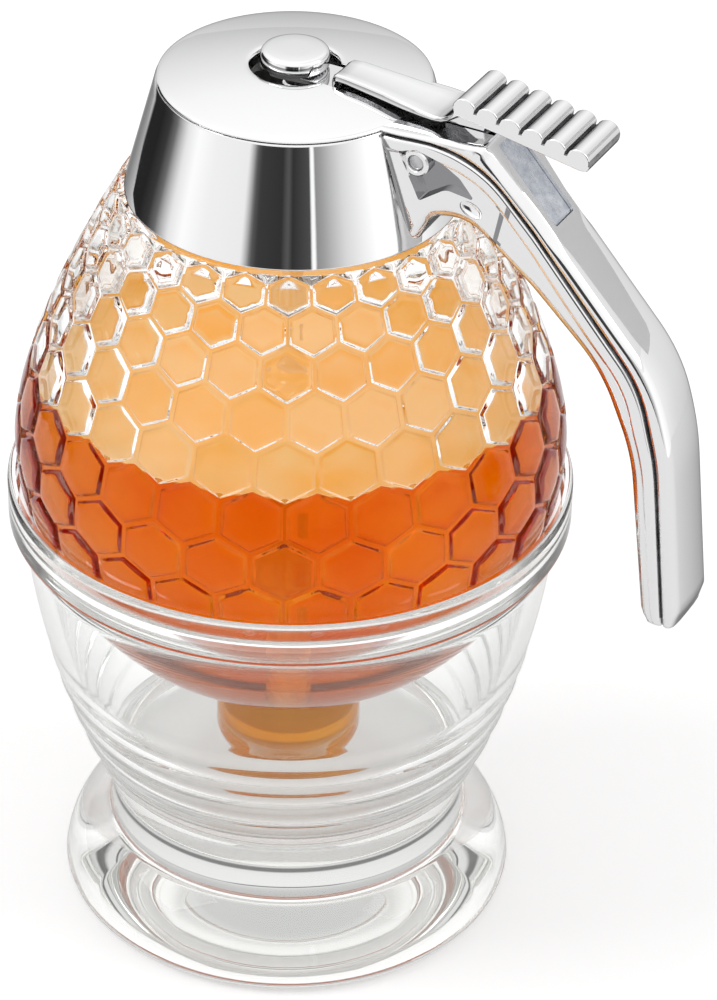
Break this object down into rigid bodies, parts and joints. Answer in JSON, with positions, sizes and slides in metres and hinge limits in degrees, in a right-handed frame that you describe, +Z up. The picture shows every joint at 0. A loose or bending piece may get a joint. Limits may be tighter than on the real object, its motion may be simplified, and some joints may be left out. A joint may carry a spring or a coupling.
{
  "type": "honey dispenser",
  "caption": "Honeycomb-relief glass honey jar in a glass stand, with a chromed lid, side handle and thumb lever that lifts a sprung stopper.",
  "frame": {"origin": "centre of the stand's bottom face, on the jar's axis", "axes": "+Z up along the jar's axis, +X from the axis to the handle, +Y completes the right-handed frame"},
  "size_m": [0.113, 0.0882, 0.1515],
  "materials": {
    "clear_glass": "clear, polished",
    "jar_glass": "clear, pressed relief",
    "chrome": "mirror chrome on cast metal",
    "steel": "stainless steel",
    "dark_steel": "plain steel",
    "white_plastic": "moulded",
    "silicone": "soft silicone",
    "seal_rubber": "moulded"
  },
  "bodies": {
    "stand": {"stand_cup": "clear_glass"},
    "vessel": {"jar": "jar_glass"},
    "cap": {"lid_cover": "chrome", "cap_body": "chrome", "cover_screws": "dark_steel", "thread_liner": "white_plastic", "liner_screws": "dark_steel", "neck_gasket": "silicone", "guide_bush": "white_plastic", "guide_seal": "seal_rubber", "spring_washer": "steel", "return_spring": "steel", "pivot_pin": "steel"},
    "trigger": {"trigger_lever": "chrome"},
    "plunger": {"plunger_rod": "steel", "lift_button": "chrome", "spring_collar": "steel", "collar_clip": "dark_steel", "stopper_carrier": "steel", "stopper_cone": "silicone", "stopper_washer": "steel", "stopper_nut": "steel"}
  },
  "joints": [
    {"name": "jar_lift", "type": "slide", "parent": "stand", "child": "vessel", "axis": [0, 0, 1], "range_m": [0, 0.06]},
    {"name": "cap_lift", "type": "slide", "parent": "vessel", "child": "cap", "axis": [0, 0, 1], "range_m": [0, 0.11]},
    {"name": "trigger_press", "type": "hinge", "parent": "cap", "child": "trigger", "pos_m": [0.0238, 0, 0.1404], "axis": [0, 1, 0], "range_deg": [0, 12]},
    {"name": "plunger_lift", "type": "slide", "parent": "cap", "child": "plunger", "axis": [0, 0, 1], "range_m": [0, 0.0054], "stiffness_N_per_m": 300, "springref_m": -0.006, "deforming": ["return_spring"]}
  ],
  "couplings": [
    {"joint": "trigger_press", "follows": "plunger_lift", "rad_per_m": 38.75}
  ]
}
